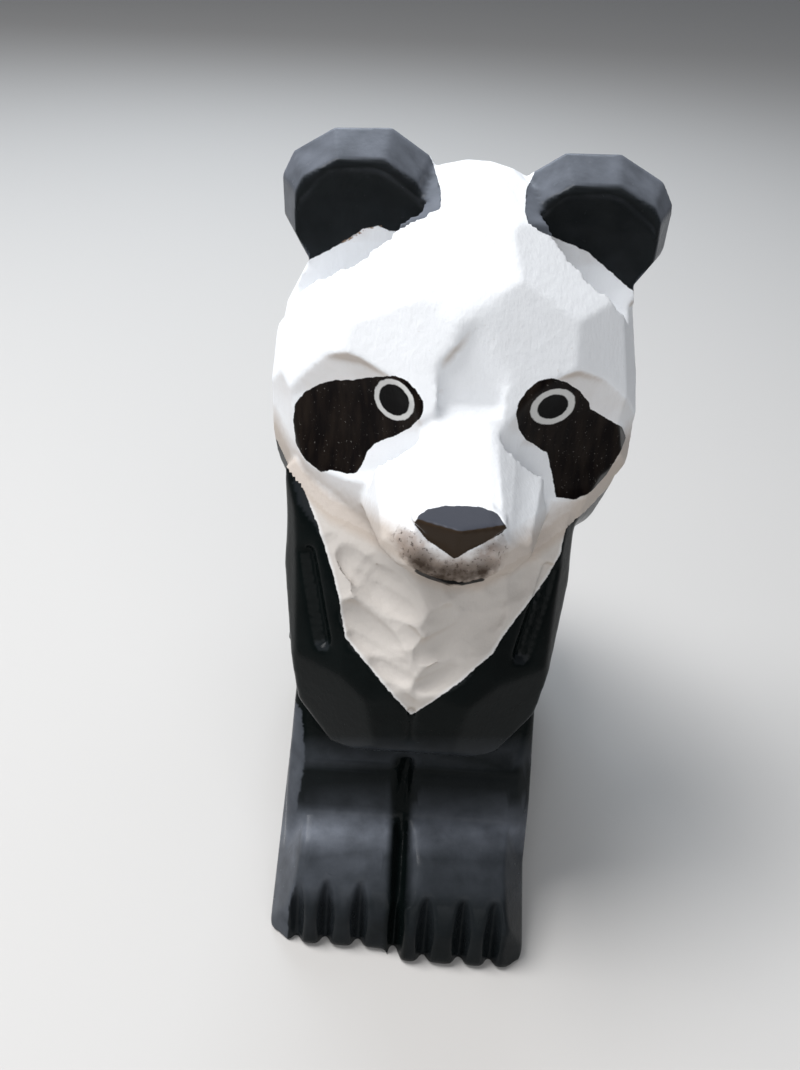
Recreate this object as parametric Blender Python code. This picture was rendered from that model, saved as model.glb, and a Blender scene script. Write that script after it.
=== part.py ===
"""Panda figurine: one solid piece of carved wood, sitting on its haunches with both front legs set down.

The figure faces -Y, stands on Z = 0 and its left and right follow from that. Every block of it is
whittled with flat knife cuts, the blocks are joined and the hollows and grooves are gouged out.
Pose, proportions and carving are written in carving units, of which the height holds HEIGHT_UNITS.
"""
import math
import random

import bmesh
import bpy
from mathutils import Matrix, Vector

# Driving sizes in metres
FIGURE_HEIGHT = 0.117
FIGURE_DEPTH = 0.094
HEAD_WIDTH = 0.0495
BODY_WIDTH = 0.0400

# The same sizes in carving units
HEIGHT_UNITS = 137.0
DEPTH_UNITS = 110.0
HEAD_UNITS = 58.0
BODY_UNITS = 47.0

# Head, in carving units
HEAD_CENTRE = Vector((1.8, 39.5, 100.8))
HEAD_RADII = Vector((28.8, 23.5, 31.5))
NOSE_X = 2.8
JOWL_CENTRE = Vector((14.0, 38.0, 93.0))
JOWL_RADII = Vector((16.8, 17.0, 12.4))
EAR_RADIUS = Vector((13.4, 0.0, 13.5))
EAR_FRONT = 33.0
EAR_RIDGE = 39.0
EAR_BACK = 47.0
EAR_MIDDLE = 123.5
EAR_FOOT = 108.0
EAR_FOOT_SHARE = 0.88
DISH_RADII = Vector((12.8, 4.4, 13.4))
DISH_FOOT = 117.0
EAR_PLACES = ((-14.6, -0.2), (20.4, -1.6))
ARCH_TOP = Vector((3.4, 18.7, 116.5))
ARCH_HALF_WIDTH = 4.8
ARCH_RISE = 7.0

# Body, in carving units
BODY_X = -0.6
CHEST_BOTTOM = 39.0
LEG_HALF_WIDTH = 23.0
# Planes of the chest's front on its +X side: a point on each and where it faces
CHEST_SIDES = (((22.2, 18.5, 64), (0.86, -0.48, 0.12)), ((14.5, 12.6, 60), (0.40, -0.88, 0.26)),
               ((6.0, 10.2, 58), (0.14, -0.96, 0.26)), ((14.8, 12.6, 52), (0.45, -0.86, -0.16)))
CHEST_MIDDLE = (((0, 9.2, 52), (0, -1, -0.10)), ((0, 16.5, 74), (0, -0.80, 0.60)))
# Gouge strokes of the bib: where each starts and ends across and up, and its width
BIB_STROKES = (((-15.0, 77.0), (-8.0, 71.8), 6.0), ((-11.4, 74.4), (-0.4, 68.0), 8.6),
               ((-12.4, 72.6), (-3.1, 64.6), 6.4), ((-14.0, 68.4), (-3.6, 60.2), 7.2),
               ((-6.6, 66.5), (-0.9, 63.6), 5.0), ((-9.2, 61.6), (-1.6, 56.8), 5.4),
               ((18.2, 76.2), (12.2, 70.8), 5.6), ((13.0, 74.0), (3.6, 68.4), 6.2),
               ((13.4, 72.0), (-1.4, 65.9), 6.0), ((12.8, 69.4), (-2.2, 60.9), 6.6),
               ((12.0, 66.8), (3.4, 60.6), 5.4), ((8.6, 61.4), (-1.8, 55.6), 5.6))
BIB_DEPTH_SHARE = 0.24
BIB_LIFT = 0.27
CREASE_X = -1.5
TOE_HEIGHT = 12.5
TOE_GAPS = (-19.6, -14.2, -8.1, -1.5, 4.0, 10.6, 16.2)
LEG_SPLIT_X = -1.2
PAW_FRONTS = (0.0, -2.4)

# Hind feet
HIND_FOOT_X = 16.2
HIND_FOOT_FRONT = 44.5

# Corners closer than this many units are one; faces closer in angle than this are one
EDGE_MERGE = 0.02
FLAT_ANGLE = math.radians(0.4)

# How far blocks on the ground reach below it before the underside is levelled
BELOW = 3.0

# Unevenness of the knife work
HAND = random.Random(11)
WOBBLE = 0.018


def direction(azimuth, elevation):
    """Unit vector; azimuth 0 faces the front, positive towards +X, elevation in degrees above level."""
    turn = math.radians(azimuth)
    rise = math.radians(elevation)
    return Vector((math.sin(turn) * math.cos(rise), -math.cos(turn) * math.cos(rise), math.sin(rise)))


def slab(low, high):
    """Box between two corners, as a new bmesh."""
    bm = bmesh.new()
    bmesh.ops.create_cube(bm, size=1.0)
    for vert in bm.verts:
        for axis in range(3):
            vert.co[axis] = high[axis] if vert.co[axis] > 0 else low[axis]
    return bm


def knife(bm, point, normal):
    """Cuts away everything in front of a plane and closes the cut; the block stays convex."""
    normal = Vector(normal).normalized()
    point = Vector(point)
    if all((vert.co - point).dot(normal) < EDGE_MERGE for vert in bm.verts):
        return
    whole = bm.verts[:] + bm.edges[:] + bm.faces[:]
    bmesh.ops.bisect_plane(bm, geom=whole, dist=EDGE_MERGE, plane_co=point, plane_no=normal, clear_outer=True)
    bmesh.ops.remove_doubles(bm, verts=bm.verts[:], dist=EDGE_MERGE)
    corners = [vert.co.copy() for vert in bm.verts]
    bm.clear()
    verts = [bm.verts.new(corner) for corner in corners]
    hull = bmesh.ops.convex_hull(bm, input=verts)
    loose = [item for item in hull["geom_interior"] if isinstance(item, bmesh.types.BMVert)]
    bmesh.ops.delete(bm, geom=loose, context="VERTS")
    bmesh.ops.dissolve_limit(bm, angle_limit=FLAT_ANGLE, verts=bm.verts[:], edges=bm.edges[:])


def tangent(centre, radii, facing):
    """Point of an ellipsoid whose surface faces the given way."""
    reach = math.sqrt(sum((radii[axis] * facing[axis]) ** 2 for axis in range(3)))
    return Vector([centre[axis] + radii[axis] ** 2 * facing[axis] / reach for axis in range(3)])


def whittle(centre, radii, rings, skip=()):
    """Block cut to an ellipsoid by rings of facets: (elevation, count, first azimuth, share of the size)."""
    span = Vector(radii) * 1.25
    bm = slab(centre - span, centre + span)
    for elevation, count, first, share in rings:
        for step in range(count):
            turn = first + 360.0 * step / count + HAND.uniform(-3, 3)
            facing = direction(turn, elevation + HAND.uniform(-2.5, 2.5))
            size = share * (1 + HAND.uniform(-WOBBLE, WOBBLE))
            knife(bm, tangent(centre, Vector(radii) * size, facing), facing)
    return bm


def head_block():
    rings = [(88, 1, 0, 1.0), (62, 8, 0, 1.0), (38, 10, 0, 1.0), (14, 12, 15, 1.0), (-8, 12, 0, 1.03),
             (-28, 10, 18, 1.14), (-50, 8, 0, 1.14)]
    return whittle(HEAD_CENTRE, HEAD_RADII, rings)


def jowl_block():
    """Fuller lower cheek on the +X side."""
    rings = [(40, 6, 0, 1.0), (8, 10, 0, 1.0), (-24, 9, 10, 1.02), (-52, 7, 0, 1.04)]
    return whittle(JOWL_CENTRE, JOWL_RADII, rings)


def muzzle_block():
    bm = slab((NOSE_X - 15, -2, 79), (NOSE_X + 15, 40, 112))
    knife(bm, (NOSE_X, 5, 93.4), (0, -0.66, 0.75))
    for side in (-1, 1):
        knife(bm, (NOSE_X + side * 6.4, 6, 93.6), (side * 0.72, -0.40, 0.60))
        knife(bm, (NOSE_X + side * 11.6, 8, 88), (side * 1.0, -0.22, 0.12))
        knife(bm, (NOSE_X + side * 8.9, 3.2, 88), (side * 0.62, -0.78, 0.02))
        knife(bm, (NOSE_X + side * 8.2, 4, 83.6), (side * 0.62, -0.25, -0.74))
        knife(bm, (NOSE_X + side * 4.0, 1.4, 83.8), (side * 0.30, -0.62, -0.72))
    knife(bm, (NOSE_X, 0.4, 88), (0, -1, -0.06))
    knife(bm, (NOSE_X, 6, 81.2), (0, 0.05, -1))
    return bm


def nose_block():
    bm = slab((NOSE_X - 6.9, -2, 84), (NOSE_X + 6.9, 12, 96))
    knife(bm, (NOSE_X, 3, 94.0), (0, -0.14, 1))
    for side in (-1, 1):
        knife(bm, (NOSE_X + side * 3.4, 0.2, 91.8), (side * 0.30, -0.90, -0.32))
        knife(bm, (NOSE_X + side * 6.2, 2.6, 91.8), (side * 0.66, -0.30, -0.69))
        knife(bm, (NOSE_X + side * 5.9, 5, 93.4), (side * 0.6, 0.1, 0.78))
    return bm


def outward(middle):
    """Side of the head that an ear is on."""
    return 1 if middle > HEAD_CENTRE.x else -1


def ear_block(middle, lift):
    """Thick half-round ear; the rim climbs from the front face to a ridge and falls away behind it."""
    span = EAR_RADIUS + Vector((4, 0, 4))
    centre = Vector((middle, EAR_RIDGE, EAR_MIDDLE + lift))
    bm = slab((middle - span.x, EAR_FRONT, EAR_FOOT), (middle + span.x, EAR_BACK, centre.z + span.z))
    for step in range(9):
        turn = math.radians(-35 + 250.0 * step / 8 + HAND.uniform(-4, 4))
        out = Vector((math.cos(turn), 0, math.sin(turn)))
        size = (1 if out.z > 0 else EAR_FOOT_SHARE) * (1 + HAND.uniform(-0.02, 0.02))
        rim = centre + Vector((out.x * EAR_RADIUS.x, 0, out.z * EAR_RADIUS.z)) * size
        knife(bm, rim, (out.x, -0.42, out.z))
        knife(bm, rim + Vector((0, 2, 0)), (out.x, 0.75, out.z))
    knife(bm, centre + Vector((0, EAR_FRONT - EAR_RIDGE + 0.5, 4)), (0, -1, -0.10))
    outer = outward(middle)
    knife(bm, centre + Vector((outer * 10.4, 0, -9.6)), (outer * 0.72, -0.2, -0.70))
    return bm


def chest_block():
    bm = slab((BODY_X - 25, 4, 30), (BODY_X + 25, 62, 96))
    for side in (-1, 1):
        knife(bm, (BODY_X + side * 24.0, 26, 72), (side * 1, 0, 0.04))
        knife(bm, (BODY_X + side * 22.6, 26, 56), (side * 1, -0.05, -0.12))
        for point, facing in CHEST_SIDES:
            knife(bm, (BODY_X + side * point[0], point[1], point[2]), (side * facing[0], facing[1], facing[2]))
        knife(bm, (BODY_X + side * 19.6, 15, 45), (side * 0.80, -0.34, -0.52))
        knife(bm, (BODY_X + side * 23.6, 36, 60), (side * 0.97, 0.24, 0))
        knife(bm, (BODY_X + side * 21, 40, 84), (side * 0.75, 0.25, 0.70))
    for point, facing in CHEST_MIDDLE:
        knife(bm, (BODY_X, point[1], point[2]), facing)
    knife(bm, (BODY_X, 12.2, CHEST_BOTTOM), (0, -0.72, -0.70))
    knife(bm, (BODY_X, 20, CHEST_BOTTOM - 2.5), (0, -0.16, -1))
    knife(bm, (BODY_X, 50, 94), (0, 0.6, 0.8))
    return bm


def leg_block():
    bm = slab((BODY_X - LEG_HALF_WIDTH, 6, -BELOW - 0.5), (BODY_X + LEG_HALF_WIDTH, 40, 46))
    knife(bm, (BODY_X, 12.5, 18), (0, -0.90, 0.42))
    knife(bm, (BODY_X, 18.2, 31), (0, -0.98, 0.20))
    for side in (-1, 1):
        knife(bm, (BODY_X + side * 19.6, 16, 24), (side * 0.70, -0.68, 0.22))
        knife(bm, (BODY_X + side * 22.2, 30, 38), (side * 1, 0, 0.05))
        knife(bm, (BODY_X + side * 21.4, 37, 20), (side * 0.8, 0.6, 0))
    return bm


def paw_block(side, front):
    """One front paw, reaching out to `front`."""
    ends = sorted((LEG_SPLIT_X + side * (LEG_HALF_WIDTH + 0.6), LEG_SPLIT_X - side * 1.5))
    bm = slab((ends[0], front - 1, -BELOW), (ends[1], 36 + side, 20))
    knife(bm, (BODY_X, front + 1.0, 0.4), (0, -0.84, -0.54))
    knife(bm, (BODY_X, front + 0.6, 6), (0, -1, 0.06))
    knife(bm, (BODY_X, front + 2.0, TOE_HEIGHT - 2), (0, -0.86, 0.50))
    knife(bm, (BODY_X, front + 4.0, TOE_HEIGHT + 0.6), (0, -0.56, 0.83))
    knife(bm, (BODY_X, 12, 18.2 + 0.2 * side), (0, -0.30, 0.95))
    knife(bm, (BODY_X + side * 21.2, front + 3.0, 8), (side * 0.64, -0.76, 0.10))
    knife(bm, (BODY_X + side * 21.4, 12, 12), (side * 0.90, -0.20, 0.38))
    return bm


def rear_blocks():
    """Back and rump, haunches, hind feet and tail: plainer than the front."""
    rings = [(86, 1, 0, 1.0), (60, 6, 30, 1.0), (34, 8, 0, 1.0), (8, 10, 18, 1.0), (-22, 10, 0, 1.06)]
    trunk = whittle(Vector((BODY_X, 63, 46)), Vector((23.0, 39.0, 47.0)), rings)
    knife(trunk, (0, 0, -BELOW - 1), (0, 0, -1))
    knife(trunk, (BODY_X, 63, 92), (0, 0.62, 0.78))
    parts = [trunk]
    for side in (-1, 1):
        rings = [(70, 5, 0, 1.0), (42, 8, 10, 1.0), (12, 9, 20, 1.0), (-20, 9, 0, 1.12)]
        haunch = whittle(Vector((BODY_X + side * 12.5, 77, 23)), Vector((13.2, 22.0, 24.0)), rings)
        knife(haunch, (0, 0, -BELOW - 1.5 + 0.2 * side), (0, 0, -1))
        parts.append(haunch)
        middle = BODY_X + side * HIND_FOOT_X
        foot = slab((middle - 7.6, HIND_FOOT_FRONT - 1, -BELOW), (middle + 7.6, 84, 12))
        knife(foot, (middle, HIND_FOOT_FRONT, 4), (0, -1, 0.16))
        knife(foot, (middle, HIND_FOOT_FRONT + 3.5, 10), (0, -0.55, 0.83))
        knife(foot, (middle + side * 6.8, 60, 7), (side * 0.9, -0.10, 0.36))
        knife(foot, (middle + side * 5.6, HIND_FOOT_FRONT + 1, 4), (side * 0.7, -0.7, 0.1))
        parts.append(foot)
    rings = [(72, 5, 0, 1.0), (36, 7, 0, 1.0), (0, 8, 20, 1.0), (-36, 7, 0, 1.0)]
    parts.append(whittle(Vector((BODY_X, 101, 17)), Vector((6.5, 8.0, 8.5)), rings))
    return parts


def gouge(centre, along, depth_axis, length, width, depth):
    """Long shallow scoop, a low ball stretched along its stroke and sunk to its middle in the surface."""
    along = Vector(along).normalized()
    inward = Vector(depth_axis).normalized()
    across = along.cross(inward).normalized()
    inward = across.cross(along).normalized()
    frame = Matrix((along, across, inward)).transposed().to_4x4()
    bm = bmesh.new()
    bmesh.ops.create_uvsphere(bm, u_segments=10, v_segments=8, radius=1.0)
    bmesh.ops.rotate(bm, verts=bm.verts, cent=(0, 0, 0), matrix=Matrix.Rotation(math.radians(90), 3, "Y"))
    for vert in bm.verts:
        vert.co = Vector((vert.co.x * length / 2, vert.co.y * width / 2, vert.co.z * depth))
    bmesh.ops.transform(bm, matrix=Matrix.Translation(Vector(centre)) @ frame, verts=bm.verts)
    return bm


def notch(top, bottom, width, reach, facing):
    """Wedge cut along a line; its open side faces out and its edge lies `reach` deep."""
    top = Vector(top)
    bottom = Vector(bottom)
    facing = Vector(facing).normalized()
    line = (top - bottom).normalized()
    across = line.cross(facing).normalized()
    bm = bmesh.new()
    ends = []
    for end, lengthen in ((top, 0.6), (bottom, -0.6)):
        base = end + line * lengthen
        mouth = base + facing * 3
        corners = [mouth + across * width, mouth - across * width, base - facing * reach]
        ends.append([bm.verts.new(corner) for corner in corners])
    bm.faces.new(ends[0])
    bm.faces.new(reversed(ends[1]))
    for step in range(3):
        after = (step + 1) % 3
        bm.faces.new((ends[0][step], ends[1][step], ends[1][after], ends[0][after]))
    bmesh.ops.recalc_face_normals(bm, faces=bm.faces[:])
    return bm


def face_hollows():
    """Hollows that the eyes lie in and the arched chip above the bridge of the nose."""
    cuts = []
    for azimuth, elevation, along in ((-34, -4, (-0.93, 0.45, -0.22)), (35, -5, (0.84, 0.50, -0.46))):
        facing = direction(azimuth, elevation)
        spot = tangent(HEAD_CENTRE, HEAD_RADII, facing) + facing * 0.4
        cuts.append(gouge(spot, along, -facing, 30, 24, 2.3))
    return cuts + [arch_cut()]


def arch_cut():
    """Flat chip above the bridge of the nose, pointed at the top; its foot runs out on the muzzle."""
    reach = Vector((ARCH_HALF_WIDTH, 12, 0))
    bm = slab(ARCH_TOP - reach - Vector((0, 0, 20)), ARCH_TOP + reach + Vector((0, 0, 1)))
    knife(bm, ARCH_TOP, (0, 1, -0.13))
    for side in (-1, 1):
        knife(bm, ARCH_TOP, (side * ARCH_RISE, 0, ARCH_HALF_WIDTH))
    knife(bm, (ARCH_TOP.x, 17.2, 103.9), (0, 0.84, -1))
    return bm


def ear_hollows():
    """Dish in the front face of each ear."""
    dishes = []
    for middle, lift in EAR_PLACES:
        bm = bmesh.new()
        bmesh.ops.create_icosphere(bm, subdivisions=2, radius=1.0)
        centre = Vector((middle, EAR_FRONT - 1.0, EAR_MIDDLE - 2.5 + lift))
        for vert in bm.verts:
            vert.co = centre + Vector([vert.co[axis] * DISH_RADII[axis] for axis in range(3)])
        outer = outward(middle)
        knife(bm, (middle, EAR_FRONT, DISH_FOOT + lift), (-outer * 0.42, -0.5, -1))
        dishes.append(bm)
    return dishes


def ground():
    """What lies under the standing plane, well past the figure on every side."""
    return slab((-DEPTH_UNITS, -DEPTH_UNITS, -4 * BELOW), (DEPTH_UNITS, 2 * DEPTH_UNITS, 0))


def toe_notches():
    """Cuts between the toes; the one between the paws goes deeper."""
    cuts = []
    for x in TOE_GAPS:
        between = abs(x - LEG_SPLIT_X) < 1
        front = PAW_FRONTS[0] if x < LEG_SPLIT_X and not between else PAW_FRONTS[1]
        top = (x, front + 3.0, TOE_HEIGHT + 1.0)
        cuts.append(notch(top, (x, front + 0.2, -1.5), 2.5, 4.6 if between else 3.0, (0, -1, 0.25)))
    return cuts


def leg_grooves():
    """The split between the legs and the cross groove under the chest."""
    split = notch((LEG_SPLIT_X, 18.2, 31), (LEG_SPLIT_X, 12.5, 18), 3.6, 3.0, (0, -0.90, 0.42))
    paws = notch((LEG_SPLIT_X, 13.0, 18.6), (LEG_SPLIT_X, 2.0, 12.0), 3.6, 3.0, (0, -0.50, 0.86))
    cross = notch((BODY_X - 19.5, 17.2, 29.0), (BODY_X + 19.5, 17.2, 29.0), 2.6, 1.5, (0, -0.93, 0.36))
    return [split, paws, cross]


def on_chest(x, z):
    """Point of the chest's front, before it is carved."""
    across = abs(x - BODY_X)
    depths = [point[1] - (facing[0] * (across - point[0]) + facing[2] * (z - point[2])) / facing[1]
              for point, facing in CHEST_SIDES + CHEST_MIDDLE]
    return Vector((x, max(depths), z))


def bib_gouges():
    """Overlapping strokes that fall to the middle from both sides, and the crease under the bib's tip."""
    cuts = [notch(on_chest(CREASE_X, 50.6), on_chest(CREASE_X, 43.6), 3.0, 1.2, (0, -1, -0.1))]
    for start, end, width in BIB_STROKES:
        top = on_chest(*start)
        bottom = on_chest(*end)
        side = 1 if top.x > bottom.x else -1
        inward = Vector((-side * 0.2, 1, -0.2)).normalized()
        run = bottom - top
        middle = (top + bottom) / 2 - inward * BIB_LIFT
        cuts.append(gouge(middle, run, inward, run.length, width, width * BIB_DEPTH_SHARE))
    return cuts


def shoulder_cuts():
    """Crease between each shoulder and the chest, ending in a notch."""
    cuts = []
    for side in (-1, 1):
        top = (BODY_X + side * 20.2, 19.0, 75)
        end = (BODY_X + side * 16.6, 13.2, 60.5)
        cuts.append(notch(top, end, 4.4, 2.4, (side * 0.55, -0.83, 0.2)))
    return cuts


def rear_notches():
    """Toe cuts of the hind feet."""
    cuts = []
    for side in (-1, 1):
        for step in range(3):
            x = BODY_X + side * HIND_FOOT_X + (step - 1) * 3.8
            top = (x, HIND_FOOT_FRONT + 3.0, 10.0)
            cuts.append(notch(top, (x, HIND_FOOT_FRONT, -1.5), 1.8, 1.6, (0, -1, 0.3)))
    return cuts


def size_up(bm, width_share):
    """Turns carving units into metres about the middle of the footprint."""
    for vert in bm.verts:
        x = (vert.co.x - BODY_X) * width_share
        y = (vert.co.y - DEPTH_UNITS / 2) * FIGURE_DEPTH / DEPTH_UNITS
        z = vert.co.z * FIGURE_HEIGHT / HEIGHT_UNITS
        vert.co = Vector((x, y, z))


def as_object(name, bm, width_share, collection):
    size_up(bm, width_share)
    bmesh.ops.recalc_face_normals(bm, faces=bm.faces[:])
    mesh = bpy.data.meshes.new(name)
    bm.to_mesh(mesh)
    bm.free()
    thing = bpy.data.objects.new(name, mesh)
    collection.objects.link(thing)
    return thing


def carve(body, tool, operation):
    tool.display_type = "WIRE"
    tool.hide_render = True
    step = body.modifiers.new(operation.lower() + " " + tool.name, "BOOLEAN")
    step.operation = operation
    step.solver = "EXACT"
    step.object = tool


def painted_wood():
    material = bpy.data.materials.new("painted_wood")
    material.use_nodes = True
    shader = material.node_tree.nodes["Principled BSDF"]
    shader.inputs["Base Color"].default_value = (0.86, 0.85, 0.84, 1)
    shader.inputs["Roughness"].default_value = 0.45
    return material


def main():
    for thing in list(bpy.data.objects):
        bpy.data.objects.remove(thing, do_unlink=True)
    scene = bpy.context.scene
    tools = bpy.data.collections.new("cutters")
    scene.collection.children.link(tools)
    head = HEAD_WIDTH / HEAD_UNITS
    body = BODY_WIDTH / BODY_UNITS

    figure = as_object("panda_figurine", chest_block(), body, scene.collection)
    added = [("head", head_block(), head), ("jowl", jowl_block(), head), ("muzzle", muzzle_block(), head),
             ("nose", nose_block(), head), ("legs", leg_block(), body)]
    for side, front in zip((-1, 1), PAW_FRONTS):
        added.append(("paw_%d" % side, paw_block(side, front), body))
    for number, place in enumerate(EAR_PLACES):
        added.append(("ear_%d" % number, ear_block(*place), head))
    for number, part in enumerate(rear_blocks()):
        added.append(("rear_%d" % number, part, body))
    for name, part, share in added:
        carve(figure, as_object(name, part, share, tools), "UNION")

    strokes = [("face", face_hollows(), head), ("ear_dish", ear_hollows(), head), ("toe", toe_notches(), body),
               ("leg_groove", leg_grooves(), body), ("bib", bib_gouges(), body), ("shoulder", shoulder_cuts(), body),
               ("rear_toe", rear_notches(), body), ("ground", [ground()], body)]
    for name, parts, share in strokes:
        for number, stroke in enumerate(parts):
            carve(figure, as_object("%s_%d" % (name, number), stroke, share, tools), "DIFFERENCE")
    figure.data.materials.append(painted_wood())


main()
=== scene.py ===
"""Painted wooden panda: the carved solid with finer relief, brush-painted black and white.

Places are in carving units of the source, or in pixels where they were measured in the photograph's
frame. The camera below is the one that took it, so its view places the paint and the gouge marks on the
mesh once, when they are made.
"""
import math

import bmesh
import bpy
import numpy as np
from mathutils import Matrix, Vector

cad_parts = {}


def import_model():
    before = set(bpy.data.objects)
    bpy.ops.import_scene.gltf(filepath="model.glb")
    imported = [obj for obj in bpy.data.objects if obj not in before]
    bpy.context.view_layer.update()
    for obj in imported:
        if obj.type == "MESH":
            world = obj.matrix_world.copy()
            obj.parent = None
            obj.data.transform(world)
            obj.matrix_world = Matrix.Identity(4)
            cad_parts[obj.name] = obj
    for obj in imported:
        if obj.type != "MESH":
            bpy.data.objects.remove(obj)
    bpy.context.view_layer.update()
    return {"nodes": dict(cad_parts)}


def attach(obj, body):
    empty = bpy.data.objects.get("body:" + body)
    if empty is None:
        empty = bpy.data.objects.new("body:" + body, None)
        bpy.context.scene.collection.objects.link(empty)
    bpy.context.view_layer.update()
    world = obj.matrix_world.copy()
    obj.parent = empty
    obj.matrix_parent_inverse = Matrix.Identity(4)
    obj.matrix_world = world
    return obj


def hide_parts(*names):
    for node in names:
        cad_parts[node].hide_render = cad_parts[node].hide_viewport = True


MM = 0.001
# One carving unit in metres, the middle of the body and half its depth in units
UNIT = 0.117 / 137
BODY_X = -0.6
HALF_DEPTH = 55.0

# Head and ears, in units
HEAD_CENTRE = np.array([1.8, 39.5, 100.8])
HEAD_RADII = np.array([28.8, 23.5, 31.5])
EAR_MIDDLES = (-14.6, 20.4)
EAR_HEIGHT = 123.0
EAR_REACH = 20.0
EAR_START = 28
EAR_RIDGE = 39.0
EAR_FOOT = 107

# Camera: place in units, angles in degrees, focal length in pixels of the frame, sensor in mm
CAMERA_AT = (-5.5, -130.9, 173.0)
PITCH = 32.0
ROLL = 4.0
FOCAL = 1100.0
FRAME = (800, 1070)
SENSOR = 36
NEAREST = 0.005
# What a pixel covers on the figure's front, in mm, and the least cosine of a slanting face that counts
MM_PER_PIXEL = 0.13
LEAST_COSINE = 0.25

# Below and above the whole figure, in units
UNDER = -10
OVER = 200
# Regions of the front: forward of this depth and between these heights, in units
FACE = (38, 74, OVER)
NOSE_PLACE = (12, 80, OVER)
LIP_PLACE = (16, 76, OVER)
MOUTH_PLACE = (22, 76, OVER)
WOOD_PLACE = (40, 108, OVER)
BIB_PLACE = (30, 35, OVER)
# Where the painted shade along the jaw's edge lies
JAW_SHADE_PLACE = (50, 70, OVER)
MUZZLE = (22, 79, OVER)
MUZZLE_MARKED = (26, 76, OVER)
CHEST_MARKED = (34, 36, 80)
LEGS_MARKED = (26, UNDER, 36)
LEGS_ROUNDED = (28, UNDER, 36)
COAT_ROUNDED = (34, UNDER, 90)
BRIDGE_ROUNDED = (30, 84, OVER)
# Where the painted highlight of the front legs lies
LEGS_HIGHLIGHTED = (26, UNDER, 46)

# Outlines of the paint, in pixels
PATCH_LEFT = [(293, 420), (295, 404), (305, 392), (319, 384), (336, 380), (352, 380), (372, 377), (395, 376),
              (406, 380), (415, 389), (424, 402), (422, 416), (410, 428), (392, 437), (377, 442), (368, 451),
              (362, 465), (356, 473), (347, 474), (331, 470), (321, 472), (305, 460), (296, 444)]
PATCH_RIGHT = [(516, 414), (519, 401), (527, 390), (539, 381), (551, 378), (566, 382), (580, 391), (589, 403),
               (591, 409), (606, 418), (622, 427), (626, 437), (621, 451), (607, 474), (591, 492), (575, 500),
               (556, 497), (553, 480), (550, 465), (547, 452), (541, 450), (534, 444), (526, 440), (519, 430)]
NOSE = [(414, 524), (419, 515), (428, 509), (445, 506), (462, 506), (480, 507), (497, 513), (507, 528),
        (500, 534), (484, 543), (470, 550), (455, 559), (440, 549), (425, 538)]
LIP = [(390, 534), (402, 528), (416, 531), (440, 560), (470, 560), (490, 541), (502, 536), (508, 548),
       (500, 566), (480, 582), (446, 586), (420, 574), (402, 556)]
BIB = [(260, 440), (300, 480), (312, 510), (322, 538), (332, 570), (339, 599), (345, 637), (365, 662),
       (388, 690), (411, 715), (435, 700), (460, 682), (492, 654), (505, 633), (526, 606), (545, 580),
       (560, 555), (566, 528), (600, 440)]
EAR_LEFT = [(305, 262), (329, 250), (345, 241), (363, 229), (379, 226), (390, 231), (406, 231), (422, 225),
            (429, 213), (441, 209), (441, 190), (432, 160), (400, 105), (300, 100), (255, 200), (290, 262)]
EAR_RIGHT = [(624, 284), (606, 268), (588, 252), (565, 242), (543, 233), (529, 226), (525, 212), (526, 190),
             (540, 160), (560, 130), (640, 130), (700, 200), (700, 296), (640, 296)]

# Painted lines, in pixels, and half their width in mm
MOUTH = [(416, 571), (428, 577), (446, 582), (466, 584), (483, 580)]
MOUTH_HALF = 0.22
EAR_WOOD = [(342, 242), (350, 239), (358, 234), (366, 229), (381, 226)]
WOOD_HALF = 0.10
# Eyes: middle in pixels, tilt of the long axis in degrees, half axes and half the ring's line in mm
EYES = (((394.3, 400), -50, (2.54, 1.96), 0.27), ((552.5, 406.3), 25, (2.56, 1.78), 0.33))
EYE_DEPTH = 30

# Lower edge of the head from one side to the other, in pixels
JAW = [(240, 430), (276, 438), (291, 471), (309, 492), (330, 513), (366, 530), (400, 552), (417, 570),
       (446, 581), (482, 580), (512, 563), (540, 546), (561, 530), (585, 512), (609, 486), (626, 454),
       (660, 430)]
JAW_DEPTH = 40
# Outer edges of the ears from the top down to the head and the most that they are trimmed, in pixels; the
# trim reaches down to this height and forward to this depth, in units
EAR_EDGE_LEFT = [(270, 190), (280, 205), (310, 258), (288, 300), (276, 360)]
EAR_EDGE_RIGHT = [(680, 190), (672, 205), (670, 235), (660, 255), (633, 286), (635, 330), (635, 360)]
EAR_TRIM = 24
TRIM_FOOT = 106
TRIM_DEPTH = 26

# Gouge marks too fine for the solid: start and end in pixels, width in pixels, depth in mm
MUZZLE_MARKS = (((494, 425), (498, 527), 9, 0.14), ((530, 452), (524, 532), 26, 0.22),
                ((392, 508), (384, 530), 16, 0.10), ((466, 484), (449, 498), 4, 0.06))
BIB_MARKS = (((361, 584), (402, 611), 32, 0.51), ((375, 568), (425, 594), 30, 0.45),
             ((427, 588), (443, 615), 32, 0.45), ((455, 590), (481, 608), 30, 0.39),
             ((352, 611), (393, 643), 32, 0.51), ((397, 627), (420, 652), 26, 0.45),
             ((515, 588), (472, 638), 28, 0.48), ((479, 617), (431, 652), 28, 0.48),
             ((356, 640), (404, 661), 24, 0.42), ((465, 649), (417, 667), 24, 0.42),
             ((379, 663), (409, 684), 22, 0.39), ((452, 671), (417, 690), 20, 0.39),
             ((394, 687), (411, 706), 18, 0.33), ((525, 561), (499, 588), 28, 0.39),
             ((331, 545), (348, 588), 26, 0.39))
LEG_MARKS = (((402, 774), (399, 826), 17, 0.5),)

# Swell of the cheeks: middle, half height and depths in units, reach in mm; it rises over this share of the
# head's half width, from this one outwards
CHEEK_HEIGHT = 88.0
CHEEK_HALF = 8.0
CHEEK_DEPTHS = (14, 60)
CHEEK_REACH = 0.9
CHEEK_START = 0.55
CHEEK_RUN = 0.35

# Bridge of the nose, rounded within this many pixels of a point
BRIDGE = (472, 345)
BRIDGE_REACH = 56
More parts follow.
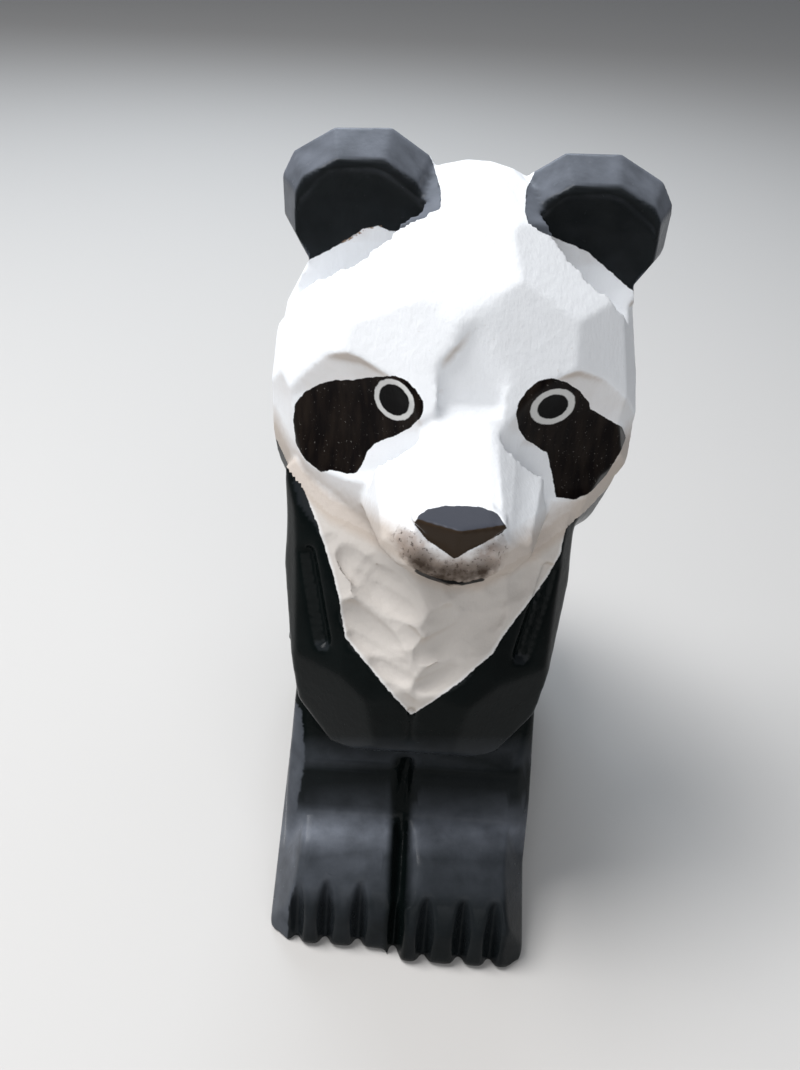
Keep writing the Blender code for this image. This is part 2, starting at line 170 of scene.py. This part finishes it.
# How far outside the bib and the head the rounding of the coat starts, in pixels
BIB_MARGIN = 3
JAW_MARGIN = 4

VOXEL = 0.00040
EDGE_PASSES = 2
COAT_PASSES = 14
ARCH_PASSES = 40
THIN_RATIO = 0.40
THIN_DEPTH = EAR_RIDGE + 4
THIN_HEIGHT = 34

# A paint's edge is this soft, in mm, and a paint that is nowhere near has this distance
EDGE = 0.12
FAR = 8.0

# White of the head, in units: above the neck, within a share of the head's radii that shrinks with depth,
# where it faces away from the head's middle; the muzzle, the cheeks and the crown are white all over
NECK = 64.0
HEAD_LIMIT = [(45, 1.24), (62, 1.10)]
HEAD_FACING = 0.36
HEAD_EDGE = 6
MUZZLE_HALF = 17
CHEEK_FOOT = 84
RIGHT_CHEEK_FOOT = 82
CHEEK_DEPTH = 52
CROWN_FOOT = 98
# Black back of the ears: how far it faces outwards and between which shares of the head's radii
EAR_FACING = 0.82
EAR_FACING_EDGE = 3
EAR_SHELL = (0.985, 1.13)
EAR_SHELL_EDGE = 22
# White saddle, black hind legs and white tail, in units
SADDLE_FRONT = 63
SADDLE_LEAN = 0.12
HAUNCH_TOP = 33.0
HAUNCH_MIDDLE = 74
HAUNCH_ROUND = 0.0022
TAIL_DEPTH = 97
TAIL_HALF = 10
TAIL_FOOT = 6
TAIL_EDGE = 0.6

# Painted sheen and some wear greying the black, 0 to 1: on the ears' rims, in front of this depth and behind
# it
RIM_SHEEN_AND_WEAR = 0.9
RIM_DEPTH = EAR_RIDGE + 6
RIM_BEHIND = 0.35
# Painted sheen on faces that look up at least this much
TOP_RISE = 0.5
TOP_SHEEN = 0.06
# Painted highlight, front legs, by place in pixels: down their front, from side to side, and none in the gap
# between them
LEG_HIGHLIGHT = [(735, 0), (750, 0.16), (762, 0.22), (770, 0.02), (800, 0.06), (818, 0.6), (832, 1), (844, 0.75),
            (856, 0.31), (886, 0.30), (905, 0.10), (960, 0.04)]
LEG_HIGHLIGHT_ACROSS = [(300, 0.85), (340, 1), (400, 0.75), (440, 0.6), (510, 0.75)]
LEG_GAP = ((403, 765), (395, 960))
LEG_GAP_HALF = 7
# Painted reflection on the left front leg's side: its edge, how soft that is, and the chest's lower left
# edge, in pixels
LEG_EDGE = [(338, 690), (322, 739), (308, 769), (301, 820), (296, 892), (290, 960)]
LEG_EDGE_SOFT = 5
CHEST_EDGE = [(285, 690), (335, 750)]
LEG_SIDE_TOP = 56
LEG_SIDE_FACING = -0.3
LEG_SIDE_SHEEN = 0.42

# Paints
WHITE_FULL = (0.85, 0.87, 0.90)
WHITE_THIN = (0.77, 0.785, 0.81)
# Painted shade of the white: on undersides and along the jaw's edge
WHITE_SHADE = (0.47, 0.41, 0.36)
# Painted shadow of the head on the bib, in a slightly warmer white
BIB_SHADOW_WHITE = (0.46, 0.415, 0.37)
# Dust in the pores, and blotches of painted shade on undersides
DUST_AND_SHADE = (0.55, 0.48, 0.42)
LIP_DIRT = (0.24, 0.18, 0.145)
GRIT = (0.05, 0.035, 0.03)
# Darker brown towards the mouth line
NEAR_MOUTH_DARK = (0.050, 0.036, 0.027)
BARE_WOOD = (0.26, 0.16, 0.10)
BLACK_DEEP = (0.001, 0.002, 0.002)
BLACK_THIN = (0.004, 0.006, 0.006)
# Blue-grey painted sheen on the glossy black, with some wear on the ears' rims
BLACK_SHEEN_AND_WEAR = (0.200, 0.218, 0.258)
PATCH_DEEP = (0.002, 0.001, 0.001)
PATCH_BROWN = (0.016, 0.011, 0.008)
SPECK = (0.16, 0.15, 0.14)
# Painted sheen on the nose's top, where it faces up
NOSE_TOP_SHEEN = (0.058, 0.062, 0.076)
NOSE_FRONT = (0.034, 0.023, 0.015)
PUPIL = (0.003, 0.003, 0.003)
RING = (0.56, 0.56, 0.55)
SPECULAR = 0.06
BUMP_DEPTH = 0.00016

# Noise patterns: cells a metre, detail and, for brush strokes, stretch and turn in degrees
RAGGED_EDGE = (1100, 3)
FINE_EDGE = (3600, 2)
WHITE_CLOUDS = (160, 4)
WHITE_STROKES = (900, 4, (1, 1, 0.12), (0, 8, 0))
UNDERSIDE_SHADE_CLOUDS = (600, 6)
PORES = (2600, 2)
SMEARS = (260, 8)
GRIT_SPOTS = (2100, 9)
NEAR_MOUTH_CLOUDS = (420, 6)
BLACK_CLOUDS = (240, 4)
SHEEN_CLOUDS = (300, 6)
PATCH_STROKES = (700, 5, (1, 1, 0.2), (0, 25, 0))
PATCH_SPECKS = (3000, 3)
GLOSS_GRAIN = (800, 3)
RELIEF_STROKES = (2300, 4, (1, 1, 0.18), (0, 8, 0))
RELIEF_GRAIN = (900, 3)

# Studio: lights with place in metres, watts, size and colour; then sky and floor
LIGHTS = (("key", (-0.30, -0.06, 0.66), 5.2, 0.32, (1, 1, 1)),
          ("left", (-0.60, -0.20, 0.28), 0.5, 0.5, (1, 1, 1)),
          ("front", (0.10, -0.66, 0.40), 1.9, 0.6, (1, 1, 1)),
          ("back", (-0.1, 0.5, 0.5), 1.8, 0.4, (0.80, 0.90, 1)))
LIT_POINT = (0, -0.02, 0.07)
SKY = (0.88, 0.93, 1.0, 1)
SKY_STRENGTH = 0.22
FLOOR_COLOUR = (0.56, 0.545, 0.53)
FLOOR_ROUGHNESS = 0.75
FLOOR_REACH = 12.0


def placed(x, y, z):
    """Metres from carving units."""
    return Vector(((x - BODY_X) * UNIT, (y - HALF_DEPTH) * UNIT, z * UNIT))


def camera_matrix():
    turn = Matrix.Rotation(math.radians(90 - PITCH), 4, "X") @ Matrix.Rotation(math.radians(ROLL), 4, "Z")
    return Matrix.Translation(placed(*CAMERA_AT)) @ turn


def seen(points):
    """Where points (n, 3) in metres fall in the photograph's frame, in pixels."""
    inverse = np.array(camera_matrix().inverted())
    local = points @ inverse[:3, :3].T + inverse[:3, 3]
    x = FRAME[0] / 2 + FOCAL * local[:, 0] / -local[:, 2]
    y = FRAME[1] / 2 - FOCAL * local[:, 1] / -local[:, 2]
    return np.stack([x, y], axis=1)


def stroke_distance(points, start, end):
    """Distance of 2-D points from a straight stroke."""
    start = np.array(start, dtype=float)
    run = np.array(end, dtype=float) - start
    along = np.clip(((points - start) @ run) / (run @ run), 0, 1)
    return np.linalg.norm(points - start - along[:, None] * run, axis=1)


def line_distance(points, line):
    """Distance of 2-D points from an open line of strokes."""
    return np.min([stroke_distance(points, a, b) for a, b in zip(line, line[1:])], axis=0)


def outline_distance(points, outline):
    """Signed distance of 2-D points from a closed outline, negative inside."""
    nearest = line_distance(points, outline + outline[:1])
    inside = np.zeros(len(points), dtype=bool)
    for a, b in zip(outline, outline[1:] + outline[:1]):
        crosses = (a[1] > points[:, 1]) != (b[1] > points[:, 1])
        slope = (b[0] - a[0]) / ((b[1] - a[1]) or 1e-9)
        inside ^= crosses & (points[:, 0] < a[0] + (points[:, 1] - a[1]) * slope)
    return np.where(inside, -nearest, nearest)


def height_at(line, across):
    """Second value of a line of pairs at each first value."""
    return np.interp(across, *zip(*line))


def side_at(line, heights):
    """First value of a line of pairs at each second value."""
    return height_at([(b, a) for a, b in line], heights)


def vectors(items, name):
    """Array (n, 3) of a vector property."""
    values = np.empty(len(items) * 3)
    items.foreach_get(name, values)
    return values.reshape(-1, 3)


class Spots:
    """Every vertex of a mesh, in metres, in carving units and in the photograph's frame."""

    def __init__(self, mesh):
        self.points = vectors(mesh.vertices, "co")
        self.normals = vectors(mesh.vertex_normals, "vector")
        self.units = self.points / UNIT + (BODY_X, HALF_DEPTH, 0)
        self.x, self.y, self.z = self.units.T
        self.pixels = seen(self.points)
        self.across, self.down = self.pixels.T
        sight = self.points - np.array(placed(*CAMERA_AT))
        sight /= np.linalg.norm(sight, axis=1)[:, None]
        cosine = np.abs(np.sum(sight * self.normals, axis=1))
        self.per_pixel = MM_PER_PIXEL / np.clip(cosine, LEAST_COSINE, 1)

    def ahead(self, depth, low, high):
        """True for vertices of a region of the front."""
        return (self.y < depth) & (self.z > low) & (self.z < high)

    def within(self, region, outline):
        """Signed distance in mm from an outline, far outside the region."""
        return np.where(region, outline_distance(self.pixels, outline) * self.per_pixel, FAR)

    def near_line(self, region, line, half):
        """Signed distance in mm from the edge of a painted line, far outside the region."""
        return np.where(region, line_distance(self.pixels, line) * MM_PER_PIXEL - half, FAR)

    def head_share(self):
        """Distance from the head's middle as a share of its radii."""
        return np.linalg.norm((self.units - HEAD_CENTRE) / HEAD_RADII, axis=1)

    def facing_out(self):
        """How far each vertex faces away from the head's middle, 1 straight out."""
        away = (self.units - HEAD_CENTRE) / HEAD_RADII ** 2
        away /= np.linalg.norm(away, axis=1)[:, None]
        return np.sum(away * self.normals, axis=1)


def applied(piece):
    """The same object with its modifiers worked into its mesh."""
    view = bpy.context.evaluated_depsgraph_get()
    mesh = bpy.data.meshes.new_from_object(piece.evaluated_get(view))
    piece.modifiers.clear()
    piece.vertex_groups.clear()
    piece.data = mesh
    return piece


def smoothed(piece, name, passes, group=""):
    soft = piece.modifiers.new(name, "SMOOTH")
    soft.vertex_group = group
    soft.factor = 0.5
    soft.iterations = passes


def chosen(piece, name, picked):
    """Vertex group of the picked vertices."""
    group = piece.vertex_groups.new(name=name)
    group.add(np.nonzero(picked)[0].tolist(), 1.0, "REPLACE")
    return group.name


def refined(source):
    """Copy of the solid with even, fine faces and slightly softened edges."""
    piece = bpy.data.objects.new("panda_carving", source.data.copy())
    bpy.context.scene.collection.objects.link(piece)
    remesh = piece.modifiers.new("even faces", "REMESH")
    remesh.mode = "VOXEL"
    remesh.voxel_size = VOXEL
    smoothed(piece, "soften", EDGE_PASSES)
    return applied(piece)


def gouge_depth(spots):
    """How deep the gouge marks reach at each vertex, in mm."""
    depth = np.zeros(len(spots.points))
    groups = ((MUZZLE_MARKS, MUZZLE_MARKED), (BIB_MARKS, CHEST_MARKED), (LEG_MARKS, LEGS_MARKED))
    for marks, region in groups:
        for start, end, width, reach in marks:
            share = stroke_distance(spots.pixels, start, end) / (width / 2)
            hollow = np.clip(1 - share ** 2, 0, 1) * reach
            depth = np.maximum(depth, np.where(spots.ahead(*region), hollow, 0))
    return depth


def cheek_swell(spots):
    """How far the cheeks reach out sideways at each vertex, in mm."""
    side = (spots.x - HEAD_CENTRE[0]) / HEAD_RADII[0]
    level = np.exp(-((spots.z - CHEEK_HEIGHT) / CHEEK_HALF) ** 2)
    outward = np.clip((np.abs(side) - CHEEK_START) / CHEEK_RUN, 0, 1)
    front, back = CHEEK_DEPTHS
    return np.sign(side) * level * outward * (spots.y > front) * (spots.y < back) * CHEEK_REACH


def ear_slope(spots):
    """How far the ears' outer corners move in so that they slope down to the head, in mm."""
    ears = (spots.z > TRIM_FOOT) & (spots.y > TRIM_DEPTH)
    left = side_at(EAR_EDGE_LEFT, spots.down) - spots.across
    right = spots.across - side_at(EAR_EDGE_RIGHT, spots.down)
    inward = np.where(ears & (spots.x < 0), np.clip(left, 0, EAR_TRIM), 0)
    inward = inward - np.where(ears & (spots.x > 0), np.clip(right, 0, EAR_TRIM), 0)
    return inward * MM_PER_PIXEL


def carve_finely(mesh):
    """Pushes in the fine gouge marks, swells the cheeks and slopes the ears' corners."""
    spots = Spots(mesh)
    moved = spots.points - spots.normals * gouge_depth(spots)[:, None] * MM
    moved[:, 0] += cheek_swell(spots) * MM
    moved[:, 0] += ear_slope(spots) * MM
    mesh.vertices.foreach_set("co", moved.ravel())


def worn_down(piece):
    """Rounds the coat, the legs and the bridge, and thins the plain back and foot of the carving."""
    spots = Spots(piece.data)
    coat = spots.ahead(*COAT_ROUNDED) & (outline_distance(spots.pixels, BIB) > BIB_MARGIN)
    coat &= spots.down > height_at(JAW, spots.across) + JAW_MARGIN
    coat |= spots.ahead(*LEGS_ROUNDED)
    away = np.hypot(spots.across - BRIDGE[0], spots.down - BRIDGE[1])
    bridge = spots.ahead(*BRIDGE_ROUNDED) & (away < BRIDGE_REACH)
    for name, picked, passes in (("round", coat, COAT_PASSES), ("arch", bridge, ARCH_PASSES)):
        smoothed(piece, name, passes, chosen(piece, name, picked))
    thin = piece.modifiers.new("thin", "DECIMATE")
    thin.vertex_group = chosen(piece, "plain", (spots.y > THIN_DEPTH) | (spots.z < THIN_HEIGHT))
    thin.ratio = THIN_RATIO
    return applied(piece)


def ear_paint(spots):
    """An ear's front is painted inside its outline, its back wherever it stands off the head."""
    ears = np.full(len(spots.points), FAR)
    share = spots.head_share()
    inner, outer = EAR_SHELL
    shell = np.minimum(outer - share, share - inner) * EAR_SHELL_EDGE
    rear = np.minimum((spots.facing_out() - EAR_FACING) * EAR_FACING_EDGE, shell)
    for middle, outline in zip(EAR_MIDDLES, (EAR_LEFT, EAR_RIGHT)):
        near = np.hypot(spots.x - middle, spots.z - EAR_HEIGHT) < EAR_REACH
        near &= (spots.y > EAR_START) & (spots.z > EAR_FOOT)
        paint = np.where(spots.y < EAR_RIDGE + 2, spots.within(near, outline), rear)
        ears = np.where(near, np.minimum(ears, paint), ears)
    return ears


def head_paint(spots, under_jaw):
    """The head is what faces away from its own middle, and the muzzle; positive inside it."""
    across = spots.x - HEAD_CENTRE[0]
    nearby = spots.head_share() < height_at(HEAD_LIMIT, spots.y)
    head = np.where((spots.z > NECK) & nearby, (spots.facing_out() - HEAD_FACING) * HEAD_EDGE, -FAR)
    head = np.where(under_jaw, -FAR, head)
    muzzle = spots.ahead(*MUZZLE) & (np.abs(across) < MUZZLE_HALF)
    cheeks = (spots.z > CHEEK_FOOT) & ~under_jaw | (spots.z > RIGHT_CHEEK_FOOT) & (across > 0)
    crown = spots.z > CROWN_FOOT
    return np.where(muzzle | crown | cheeks & (spots.y < CHEEK_DEPTH), FAR, head)


def saddle_paint(spots):
    """White saddle behind the shoulders and a white tail, negative inside; the hind legs stay black."""
    saddle = (SADDLE_FRONT + SADDLE_LEAN * spots.z - spots.y) * UNIT / MM
    haunch = HAUNCH_TOP - HAUNCH_ROUND * (spots.y - HAUNCH_MIDDLE) ** 2
    saddle = np.maximum(saddle, (haunch - spots.z) * UNIT / MM)
    tail = (spots.y > TAIL_DEPTH) & (np.abs(spots.x - BODY_X) < TAIL_HALF)
    return np.where(tail, (TAIL_FOOT - spots.z) * TAIL_EDGE, saddle)


def black_sheen(spots, ears):
    """How grey the black paint is, 0 to 1, from painted sheen and some wear: ears' rims, front legs, the left
    one's side, tops.
    """
    sideways, back, rise = spots.normals.T
    rim = np.clip(1.2 + back * 1.3, 0.09, 1) * np.clip(0.75 + rise, 0.35, 1.2) * RIM_SHEEN_AND_WEAR
    rim *= np.where(spots.y < RIM_DEPTH, 1.0, RIM_BEHIND)
    gap = np.clip(stroke_distance(spots.pixels, *LEG_GAP) / LEG_GAP_HALF - 1, 0, 1)
    front = height_at(LEG_HIGHLIGHT, spots.down) * height_at(LEG_HIGHLIGHT_ACROSS, spots.across) * gap
    side = np.clip((side_at(LEG_EDGE, spots.down) - spots.across) / LEG_EDGE_SOFT + 0.5, 0, 1)
    side = side * (spots.z < LEG_SIDE_TOP) * (sideways < LEG_SIDE_FACING) * LEG_SIDE_SHEEN
    side *= spots.down > height_at(CHEST_EDGE, spots.across)
    body = np.maximum(side, (rise > TOP_RISE) * TOP_SHEEN)
    return np.where(ears < 0, rim, np.where(spots.ahead(*LEGS_HIGHLIGHTED), np.maximum(front, side), body))


def paint_masks(spots):
    """Signed distance in mm from the edge of each paint, negative inside, and the black's painted sheen and
    wear, by name.
    """
    face = spots.ahead(*FACE)
    jaw_line = height_at(JAW, spots.across)
    under_jaw = (spots.y < JAW_DEPTH) & (spots.down > jaw_line)
    above_jaw = (jaw_line - spots.down) * MM_PER_PIXEL
    bib = spots.within(spots.ahead(*BIB_PLACE), BIB)
    ears = ear_paint(spots)
    masks = {"patch": np.minimum(spots.within(face, PATCH_LEFT), spots.within(face, PATCH_RIGHT)),
             "nose": spots.within(spots.ahead(*NOSE_PLACE), NOSE),
             "lip": spots.within(spots.ahead(*LIP_PLACE), LIP),
             "mouth": spots.near_line(spots.ahead(*MOUTH_PLACE), MOUTH, MOUTH_HALF),
             "wood": spots.near_line(spots.ahead(*WOOD_PLACE), EAR_WOOD, WOOD_HALF),
             "bib_shadow": np.where(under_jaw, bib, FAR)}
    # The jaw's own mask, for the painted shade along the jaw's edge, is a distance from its line, which grows
    # faster below it
    off_jaw = np.where(above_jaw < 0, -2.5 * above_jaw, above_jaw)
    masks["jaw"] = np.where(spots.ahead(*JAW_SHADE_PLACE), off_jaw, FAR)
    coat = np.maximum(head_paint(spots, under_jaw), -np.minimum(bib, saddle_paint(spots)))
    black = np.minimum(masks["patch"], masks["nose"])
    masks["dark"] = np.minimum(black, np.minimum(ears, coat))
    # Grey on the black: painted sheen and highlights with some wear
    masks["sheen_and_wear"] = black_sheen(spots, ears)
    return masks


def eye_axes(spots, middle, tilt):
    """Point of the face under an eye's middle and the ellipse's axes, square to the line of sight."""
    away = np.linalg.norm(spots.pixels - np.array(middle), axis=1)
    nearest = int(np.argmin(np.where(spots.y < EYE_DEPTH, away, np.inf)))
    turn = math.radians(tilt)
    view = camera_matrix().to_3x3()
    right = (middle[0] - FRAME[0] / 2) / FOCAL
    up = (FRAME[1] / 2 - middle[1]) / FOCAL
    axes = []
    for side, rise in ((math.cos(turn), math.sin(turn)), (-math.sin(turn), math.cos(turn))):
        axes.append(tuple(view @ Vector((side, rise, side * right + rise * up))))
    return tuple(spots.points[nearest]), axes


class Shade:
    """Short ways to add and join shader nodes of one material."""

    def __init__(self, name):
        self.material = bpy.data.materials.new(name)
        self.material.use_nodes = True
        self.tree = self.material.node_tree
        self.shader = self.tree.nodes["Principled BSDF"]

    def add(self, kind, **settings):
        node = self.tree.nodes.new(kind)
        for key, value in settings.items():
            setattr(node, key, value)
        return node

    def feed(self, socket, value):
        if isinstance(value, bpy.types.NodeSocket):
            self.tree.links.new(value, socket)
        elif isinstance(value, tuple) and len(socket.default_value) == 4:
            socket.default_value = value + (1,)
        else:
            socket.default_value = value

    def math(self, operation, a, b=None, clamp=False):
        node = self.add("ShaderNodeMath", operation=operation, use_clamp=clamp)
        self.feed(node.inputs[0], a)
        if b is not None:
            self.feed(node.inputs[1], b)
        return node.outputs[0]

    def total(self, first, *others):
        for other in others:
            first = self.math("ADD", first, other)
        return first

    def times(self, first, *others):
        for other in others:
            first = self.math("MULTIPLY", first, other)
        return first

    def attribute(self, name):
        return self.add("ShaderNodeAttribute", attribute_name=name).outputs["Fac"]

    def noise(self, scale, detail=3.0, stretch=(1, 1, 1), turn=(0, 0, 0)):
        """Noise from 0 to 1; `scale` is in cells a metre."""
        mapping = self.add("ShaderNodeMapping")
        self.feed(mapping.inputs["Scale"], stretch)
        self.feed(mapping.inputs["Rotation"], tuple(math.radians(angle) for angle in turn))
        self.feed(mapping.inputs["Vector"], self.add("ShaderNodeTexCoord").outputs["Object"])
        node = self.add("ShaderNodeTexNoise")
        self.feed(node.inputs["Scale"], scale)
        self.feed(node.inputs["Detail"], detail)
        self.feed(node.inputs["Vector"], mapping.outputs["Vector"])
        return node.outputs["Fac"]

    def clouds(self, pattern, low, high):
        """Noise of a pattern, 0 at `low` and 1 at `high`."""
        return self.ramp(self.noise(*pattern), low, high)

    def mix(self, amount, a, b):
        node = self.add("ShaderNodeMix", data_type="RGBA")
        for number, value in ((0, amount), (6, a), (7, b)):
            self.feed(node.inputs[number], value)
        return node.outputs[2]

    def coated(self, ground, paint, *shares):
        """The ground's colour with a paint over it, as dense as the product of the shares."""
        return self.mix(self.times(*shares), ground, paint)

    def ramp(self, value, low, high):
        """0 at `low`, 1 at `high`, level beyond them."""
        node = self.add("ShaderNodeMapRange")
        for socket, setting in zip(node.inputs, (value, low, high, 0.0, 1.0)):
            self.feed(socket, setting)
        return node.outputs[0]

    def inside(self, distance, width=EDGE):
        """1 inside an outline, 0 outside, softened over a width in mm."""
        return self.math("SUBTRACT", 0.5, self.math("DIVIDE", distance, width), clamp=True)

    def painted(self, name, wobble):
        """1 inside a paint's edge, which the brush leaves slightly uneven."""
        return self.inside(self.total(self.attribute(name), wobble))


def eye_lines(shade, wobble, eyes):
    """Masks of the painted rings and of the black inside them."""
    rings = 0.0
    pupils = 0.0
    where = shade.add("ShaderNodeTexCoord").outputs["Object"]
    for (spot, axes), half, line in eyes:
        shift = shade.add("ShaderNodeVectorMath", operation="SUBTRACT")
        shade.feed(shift.inputs[0], where)
        shade.feed(shift.inputs[1], spot)
        shares = []
        for axis, radius in zip(axes, half):
            dot = shade.add("ShaderNodeVectorMath", operation="DOT_PRODUCT")
            shade.feed(dot.inputs[0], shift.outputs[0])
            shade.feed(dot.inputs[1], axis)
            shares.append(shade.math("POWER", shade.math("DIVIDE", dot.outputs["Value"], radius * MM), 2.0))
        reach = shade.math("SQRT", shade.math("ADD", *shares))
        off = shade.times(shade.math("ABSOLUTE", shade.math("SUBTRACT", reach, 1.0)), half[1])
        ring = shade.inside(shade.total(off, -line, shade.times(wobble, 0.5)))
        rings = shade.math("MAXIMUM", rings, ring)
        hole = shade.inside(shade.total(shade.times(reach, half[1]), line - half[1], wobble))
        pupils = shade.math("MAXIMUM", pupils, hole)
    on_face = shade.math("LESS_THAN", shade.attribute("patch"), 0.0)
    return shade.times(rings, on_face), shade.times(pupils, on_face)


def white_paint(shade, rise, ragged):
    """Brushed white, greyer where it is thin, with warm painted shade on undersides, by the jaw and on the
    bib, dirty round the mouth.
    """
    white = shade.coated(WHITE_THIN, WHITE_FULL, shade.noise(*WHITE_CLOUDS))
    white = shade.coated(white, WHITE_THIN, shade.clouds(WHITE_STROKES, 0.35, 0.75), 0.35)
    # Painted shade: warmer and darker on faces that look down, in blotches
    underside_shade = shade.ramp(rise, -0.02, -0.42)
    white = shade.coated(white, WHITE_SHADE, underside_shade, 0.85)
    white = shade.coated(white, DUST_AND_SHADE, shade.clouds(UNDERSIDE_SHADE_CLOUDS, 0.45, 0.70), underside_shade, 0.25)
    white = shade.coated(white, DUST_AND_SHADE, shade.clouds(PORES, 0.74, 0.78), 0.35)
    # Painted shadow of the head on the bib below the jaw
    white = shade.coated(white, BIB_SHADOW_WHITE, shade.inside(shade.attribute("bib_shadow"), 1.0), 0.80)
    # Painted shade in a band along the jaw's edge
    jaw = shade.ramp(shade.total(shade.attribute("jaw"), shade.times(ragged, 3.0)), 4.6, 1.6)
    white = shade.coated(white, WHITE_SHADE, jaw, 0.9)

    lip = shade.inside(shade.total(shade.attribute("lip"), shade.times(ragged, 4.0)), 1.6)
    smear = shade.total(shade.times(shade.clouds(SMEARS, 0.35, 0.68), 0.6), 0.35)
    white = shade.coated(white, LIP_DIRT, lip, smear)
    white = shade.coated(white, GRIT, shade.clouds(GRIT_SPOTS, 0.57, 0.66), lip, 0.75)
    # Darker towards the mouth line, in blotches
    near_mouth = shade.ramp(shade.attribute("mouth"), 3.2, 1.0)
    return shade.coated(white, NEAR_MOUTH_DARK, near_mouth, shade.clouds(NEAR_MOUTH_CLOUDS, 0.10, 0.50), lip)


def black_paint(shade, rise, patch, nose):
    """Semi-gloss black with painted sheen and some wear; brown with light specks round the eyes; painted
    sheen on the nose top.
    """
    dark = shade.coated(BLACK_DEEP, BLACK_THIN, shade.noise(*BLACK_CLOUDS))
    # Painted sheen and some wear, greying the black in blotches
    cloudy = shade.total(shade.times(shade.clouds(SHEEN_CLOUDS, 0.30, 0.70), 0.35), 0.52)
    dark = shade.coated(dark, BLACK_SHEEN_AND_WEAR, shade.attribute("sheen_and_wear"), cloudy)
    brown = shade.coated(PATCH_DEEP, PATCH_BROWN, shade.clouds(PATCH_STROKES, 0.40, 0.72), 0.8)
    brown = shade.coated(brown, SPECK, shade.clouds(PATCH_SPECKS, 0.68, 0.72), 0.7)
    dark = shade.coated(dark, brown, patch)
    # Painted sheen: the nose turns blue-grey where it faces up
    tip = shade.coated(NOSE_FRONT, NOSE_TOP_SHEEN, shade.ramp(rise, 0.55, 0.75))
    return shade.coated(dark, tip, nose)


def surface(shade, black, patch):
    """Gloss of the paints and the fine relief that the brush leaves."""
    grain = shade.times(shade.noise(*GLOSS_GRAIN), 0.16)
    rough = shade.total(0.46, grain, shade.times(black, -0.30), shade.times(patch, 0.10))
    shade.feed(shade.shader.inputs["Roughness"], rough)
    shade.feed(shade.shader.inputs["Specular IOR Level"], SPECULAR)
    strokes = shade.times(shade.noise(*RELIEF_STROKES), 0.6)
    bump = shade.add("ShaderNodeBump")
    shade.feed(bump.inputs["Strength"], shade.total(0.5, shade.times(black, -0.3)))
    shade.feed(bump.inputs["Distance"], BUMP_DEPTH)
    shade.feed(bump.inputs["Height"], shade.total(strokes, shade.noise(*RELIEF_GRAIN)))
    shade.feed(shade.shader.inputs["Normal"], bump.outputs["Normal"])


def painted_wood(eyes):
    shade = Shade("painted_wood")
    upward = shade.add("ShaderNodeSeparateXYZ")
    shade.feed(upward.inputs[0], shade.add("ShaderNodeNewGeometry").outputs["Normal"])
    rise = upward.outputs["Z"]
    ragged = shade.times(shade.total(shade.noise(*RAGGED_EDGE), -0.5), 0.42)
    fine = shade.times(shade.total(shade.noise(*FINE_EDGE), -0.5), 0.16)
    wobble = shade.total(ragged, fine)
    black = shade.painted("dark", wobble)
    patch = shade.painted("patch", wobble)
    nose = shade.painted("nose", wobble)

    colour = shade.coated(white_paint(shade, rise, ragged), black_paint(shade, rise, patch, nose), black)
    colour = shade.coated(colour, BARE_WOOD, shade.painted("wood", wobble))
    rings, pupils = eye_lines(shade, wobble, eyes)
    colour = shade.coated(colour, PUPIL, pupils)
    colour = shade.coated(colour, RING, rings)
    colour = shade.coated(colour, PUPIL, shade.painted("mouth", wobble))
    shade.feed(shade.shader.inputs["Base Color"], colour)
    surface(shade, black, patch)
    return shade.material


def stand(data, name, at):
    thing = bpy.data.objects.new(name, data)
    bpy.context.scene.collection.objects.link(thing)
    thing.location = at
    return thing


def light(name, at, energy, size, colour):
    data = bpy.data.lights.new(name, "AREA")
    data.energy = energy
    data.size = size
    data.color = colour
    lamp = stand(data, name, at)
    lamp.rotation_euler = (Vector(LIT_POINT) - Vector(at)).to_track_quat("-Z", "Y").to_euler()


def camera():
    eye = stand(bpy.data.cameras.new("camera"), "camera", (0, 0, 0))
    eye.matrix_world = camera_matrix()
    eye.data.sensor_width = SENSOR
    eye.data.lens = SENSOR * FOCAL / FRAME[1]
    eye.data.clip_start = NEAREST
    bpy.context.scene.camera = eye


def sky():
    world = bpy.data.worlds.new("studio")
    world.use_nodes = True
    background = world.node_tree.nodes["Background"]
    background.inputs["Color"].default_value = SKY
    background.inputs["Strength"].default_value = SKY_STRENGTH
    bpy.context.scene.world = world
    bpy.context.scene.view_settings.view_transform = "Standard"


def floor():
    shape = bmesh.new()
    bmesh.ops.create_grid(shape, x_segments=1, y_segments=1, size=FLOOR_REACH)
    mesh = bpy.data.meshes.new("floor")
    shape.to_mesh(mesh)
    shape.free()
    paint = Shade("floor")
    paint.feed(paint.shader.inputs["Base Color"], FLOOR_COLOUR)
    paint.feed(paint.shader.inputs["Roughness"], FLOOR_ROUGHNESS)
    mesh.materials.append(paint.material)
    stand(mesh, "floor", (0, 0, 0))


def main():
    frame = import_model()
    carving = refined(frame["nodes"]["panda_figurine"])
    carve_finely(carving.data)
    carving = worn_down(carving)
    mesh = carving.data
    spots = Spots(mesh)
    for name, values in paint_masks(spots).items():
        layer = mesh.attributes.new(name, "FLOAT", "POINT")
        layer.data.foreach_set("value", values.astype(np.float32))
    mesh.shade_smooth()
    eyes = [(eye_axes(spots, middle, tilt), half, line) for middle, tilt, half, line in EYES]
    mesh.materials.clear()
    mesh.materials.append(painted_wood(eyes))
    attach(carving, "root")
    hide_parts("panda_figurine")
    camera()
    for lamp in LIGHTS:
        light(*lamp)
    sky()
    floor()
    print("triangles", sum(len(face.vertices) - 2 for face in mesh.polygons))


main()
